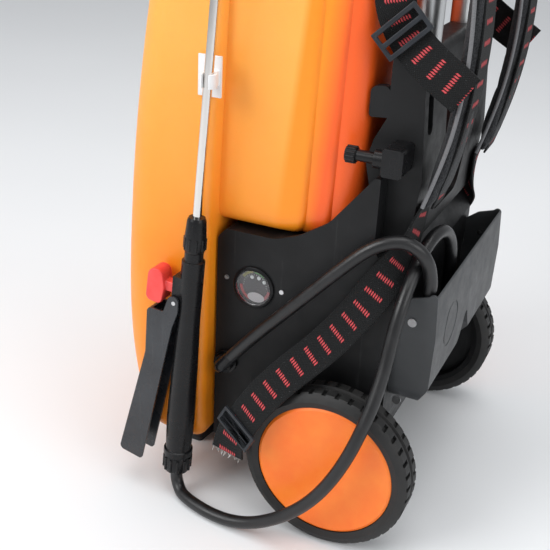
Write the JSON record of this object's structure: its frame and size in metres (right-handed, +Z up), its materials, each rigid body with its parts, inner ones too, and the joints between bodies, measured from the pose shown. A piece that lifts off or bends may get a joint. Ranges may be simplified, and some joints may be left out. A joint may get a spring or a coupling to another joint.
{
  "type": "wheeled knapsack sprayer",
  "caption": "Battery sprayer on two wheels with an orange tank, back frame, shoulder straps, pull-out handle, hose, trigger gun and lance.",
  "frame": {"origin": "centre of the front foot's floor face, on the floor and on the centre plane", "axes": "+Z up, +X along the wheel axle towards the gauge, hose outlet and gun, +Y towards the wearer's back"},
  "size_m": [0.3897, 0.3186, 0.7126],
  "materials": {
    "orange_tank": "blow-moulded, slightly waxy",
    "orange_disc": "moulded, faint turning marks",
    "black_housing": "fine moulded texture",
    "grey_cover": "fine moulded texture",
    "black_gloss": "smooth moulded",
    "white_plastic": "smooth moulded",
    "red_plastic": "smooth moulded",
    "tyre_rubber": "moulded tread",
    "seal_rubber": "matte",
    "hose_rubber": "smooth, slightly shiny",
    "webbing": "woven webbing with red bar stitches",
    "pad_fabric": "padded woven fabric with grey piping",
    "handle_aluminium": "satin anodised",
    "lance_steel": "polished tube",
    "steel": "plain",
    "gauge_dark": "printed dial",
    "lens": "clear",
    "battery_case": "moulded",
    "pump_plastic": "moulded",
    "mesh_plastic": "moulded basket",
    "wire": "insulated wires"
  },
  "bodies": {
    "chassis": {"tank": "orange_tank", "filler_strainer": "mesh_plastic", "tank_outlet": "black_housing", "base_housing": "black_housing", "base_floor_plate": "black_housing", "case_screws": "steel", "front_foot": "black_housing", "foot_rubber": "seal_rubber", "gauge_body": "black_gloss", "gauge_face": "gauge_dark", "gauge_lens": "lens", "hose_outlet": "black_gloss", "outlet_nut": "black_housing", "switch_bezel": "black_gloss", "charging_socket": "black_gloss", "battery": "battery_case", "pump_head": "pump_plastic", "pump_motor": "steel", "pressure_switch": "pump_plastic", "pump_hoses": "hose_rubber", "wiring_loom": "wire", "rear_cover": "grey_cover", "axle_washers": "steel", "axle": "steel", "back_frame": "black_housing", "peg_bracket": "black_gloss", "lance_peg": "black_gloss", "handle_outer_tubes": "handle_aluminium", "handle_bridge": "black_housing", "shoulder_pads": "pad_fabric", "hanger_webbing": "webbing", "lifter_webbing": "webbing", "lower_webbing": "webbing", "upper_buckles": "black_gloss", "lower_buckles": "black_gloss", "strap_anchors": "black_housing", "hose_nut": "black_gloss", "gun_body": "black_gloss", "lever_pin": "steel", "lance_nut": "black_gloss", "lance_tube": "lance_steel", "nozzle_body": "black_gloss", "lance_clip": "white_plastic", "spray_hose": "hose_rubber"},
    "near_wheel": {"near_wheel_tyre": "tyre_rubber", "near_wheel_rim": "orange_disc", "near_wheel_disc": "orange_disc"},
    "far_wheel": {"far_wheel_tyre": "tyre_rubber", "far_wheel_rim": "orange_disc", "far_wheel_disc": "orange_disc"},
    "handle": {"handle_inner_tubes": "handle_aluminium", "handle_grip": "black_housing"},
    "button": {"handle_button": "red_plastic"},
    "lid_ring": {"lid_seal": "seal_rubber"},
    "lid": {"filler_lid": "black_housing"},
    "trigger": {"trigger_lever": "black_gloss"},
    "lock": {"lock_button": "red_plastic"},
    "nozzle": {"nozzle_cap": "black_gloss"},
    "rocker": {"power_switch": "red_plastic"},
    "socket_cap": {"charging_cap": "seal_rubber"}
  },
  "joints": [
    {"name": "near_wheel_spin", "type": "hinge", "parent": "chassis", "child": "near_wheel", "pos_m": [0.153, 0.15, 0.08], "axis": [1, 0, 0], "continuous": true},
    {"name": "far_wheel_spin", "type": "hinge", "parent": "chassis", "child": "far_wheel", "pos_m": [-0.153, 0.15, 0.08], "axis": [1, 0, 0], "continuous": true},
    {"name": "handle_extend", "type": "slide", "parent": "chassis", "child": "handle", "axis": [0, 0, 1], "range_m": [0, 0.225]},
    {"name": "handle_button_press", "type": "slide", "parent": "handle", "child": "button", "axis": [0, 0, -1], "range_m": [0, 0.004], "stiffness_N_per_m": 400, "springref_m": -0.001},
    {"name": "lid_lift", "type": "slide", "parent": "chassis", "child": "lid_ring", "axis": [0, 0, 1], "range_m": [0, 0.018]},
    {"name": "lid_turn", "type": "hinge", "parent": "lid_ring", "child": "lid", "pos_m": [0, 0.052, 0.61], "axis": [0, 0, 1], "range_deg": [0, 540]},
    {"name": "trigger_squeeze", "type": "hinge", "parent": "chassis", "child": "trigger", "pos_m": [0.16194, -0.00432, 0.21525], "axis": [0.9998, 0.0006, 0.0217], "range_deg": [0, 4.2], "stiffness_Nm_per_rad": 1, "springref_deg": -3.44},
    {"name": "lock_push", "type": "slide", "parent": "chassis", "child": "lock", "axis": [0.0006, 0.9982, -0.0597], "range_m": [0, 0.003]},
    {"name": "nozzle_turn", "type": "hinge", "parent": "chassis", "child": "nozzle", "pos_m": [0.15154, 0.01292, 0.69401], "axis": [-0.017, -0.5959, 0.8028], "range_deg": [0, 360]},
    {"name": "switch_rock", "type": "hinge", "parent": "chassis", "child": "rocker", "pos_m": [-0.125, 0.075, 0.224], "axis": [0, 0, 1], "range_deg": [0, 12]},
    {"name": "socket_cap_swing", "type": "hinge", "parent": "chassis", "child": "socket_cap", "pos_m": [-0.1315, 0.045, 0.175], "axis": [0, 1, 0], "range_deg": [0, 110]}
  ],
  "couplings": [
    {"joint": "lid_lift", "follows": "lid_turn", "m_per_rad": 0.0019099}
  ]
}
